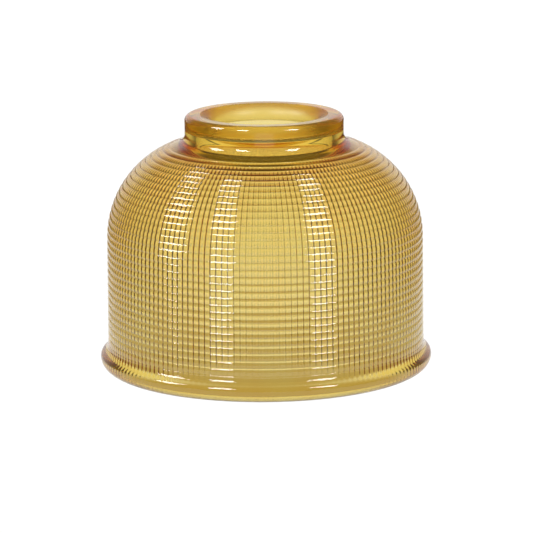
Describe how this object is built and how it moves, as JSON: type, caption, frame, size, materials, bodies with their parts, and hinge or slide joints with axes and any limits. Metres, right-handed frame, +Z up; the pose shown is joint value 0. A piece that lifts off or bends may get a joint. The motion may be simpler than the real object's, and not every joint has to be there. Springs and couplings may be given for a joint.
{
  "type": "glass lamp shade",
  "caption": "Bell-shaped pressed prismatic glass lamp shade with a round collar and hole on top, ribbed outside, fluted inside and a beaded rim, open at the bottom.",
  "frame": {"origin": "on the shade's axis, in the plane that its rim rests on", "axes": "+Z up along the shade's axis, from the open rim to the collar; the shade is a body of revolution, so X and Y are alike"},
  "size_m": [0.1174, 0.1174, 0.09],
  "materials": {
    "amber_glass": "gloss"
  },
  "bodies": {
    "root": {"glass_shade": "amber_glass"}
  },
  "joints": []
}
